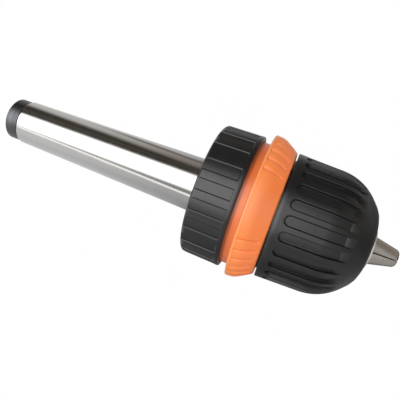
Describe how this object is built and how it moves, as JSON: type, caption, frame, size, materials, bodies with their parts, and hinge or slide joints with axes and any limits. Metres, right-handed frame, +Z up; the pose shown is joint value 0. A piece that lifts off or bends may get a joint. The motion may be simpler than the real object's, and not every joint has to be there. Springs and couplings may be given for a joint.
{
  "type": "keyless drill chuck",
  "caption": "Keyless drill chuck on a Morse taper arbor: grooved dome sleeve drives converging jaws through a split nut, with a turning lock ring and a ribbed holding ring.",
  "frame": {"origin": "on the chuck's axis, at the gauge plane of the Morse taper", "axes": "+X along the axis from the arbor's drawbar end to the jaws, +Z up with the object lying level"},
  "size_m": [0.1352, 0.0472, 0.0472],
  "materials": {
    "ground_steel": "ground bright",
    "turned_steel": "fine turned",
    "oiled_steel": "hardened and oiled, dark",
    "brass": "stamped",
    "black_nylon": "satin moulded",
    "orange_nylon": "satin moulded"
  },
  "bodies": {
    "body": {"taper_arbor": "ground_steel", "retaining_screw": "oiled_steel", "chuck_body": "turned_steel", "rear_ring": "black_nylon", "rear_insert": "turned_steel", "thrust_race": "ground_steel", "release_spring": "ground_steel", "click_spring": "ground_steel"},
    "lock": {"lock_ring": "orange_nylon"},
    "coupling": {"coupling_ring": "oiled_steel", "cam_pin_1": "ground_steel", "cam_pin_2": "ground_steel", "cam_pin_3": "ground_steel"},
    "sleeve": {"nut_half_upper": "oiled_steel", "nut_half_lower": "oiled_steel", "nut_ring": "oiled_steel", "front_sleeve": "black_nylon"},
    "cage": {"ball_cage": "brass", "bearing_ball_01": "ground_steel", "bearing_ball_02": "ground_steel", "bearing_ball_03": "ground_steel", "bearing_ball_04": "ground_steel", "bearing_ball_05": "ground_steel", "bearing_ball_06": "ground_steel", "bearing_ball_07": "ground_steel", "bearing_ball_08": "ground_steel", "bearing_ball_09": "ground_steel", "bearing_ball_10": "ground_steel", "bearing_ball_11": "ground_steel", "bearing_ball_12": "ground_steel"},
    "jaw_1": {"jaw_1": "ground_steel"},
    "jaw_2": {"jaw_2": "ground_steel"},
    "jaw_3": {"jaw_3": "ground_steel"}
  },
  "joints": [
    {"name": "sleeve_turn", "type": "hinge", "parent": "body", "child": "sleeve", "pos_m": [0.0388, 0, 0], "axis": [1, 0, 0], "range_deg": [0, 4680]},
    {"name": "jaw_1_slide", "type": "slide", "parent": "body", "child": "jaw_1", "axis": [-0.9659, 0.1983, 0.1664], "range_m": [0, 0.0195]},
    {"name": "jaw_2_slide", "type": "slide", "parent": "body", "child": "jaw_2", "axis": [-0.9659, -0.2432, 0.0885], "range_m": [0, 0.0195]},
    {"name": "jaw_3_slide", "type": "slide", "parent": "body", "child": "jaw_3", "axis": [-0.9659, 0.0449, -0.2549], "range_m": [0, 0.0195]},
    {"name": "cage_roll", "type": "hinge", "parent": "body", "child": "cage", "pos_m": [0.0341, 0, 0], "axis": [1, 0, 0], "range_deg": [0, 2340]},
    {"name": "lock_turn", "type": "hinge", "parent": "body", "child": "lock", "pos_m": [0.026, 0, 0], "axis": [1, 0, 0], "range_deg": [0, 30], "deforming": ["click_spring"]},
    {"name": "coupling_slide", "type": "slide", "parent": "body", "child": "coupling", "axis": [1, 0, 0], "range_m": [0, 0.0014], "deforming": ["release_spring"]}
  ],
  "couplings": [
    {"joint": "jaw_1_slide", "follows": "sleeve_turn", "m_per_rad": 0.00023873},
    {"joint": "jaw_2_slide", "follows": "sleeve_turn", "m_per_rad": 0.00023873},
    {"joint": "jaw_3_slide", "follows": "sleeve_turn", "m_per_rad": 0.00023873},
    {"joint": "cage_roll", "follows": "sleeve_turn", "ratio": 0.5},
    {"joint": "coupling_slide", "follows": "lock_turn", "m_per_rad": 0.0026738}
  ]
}
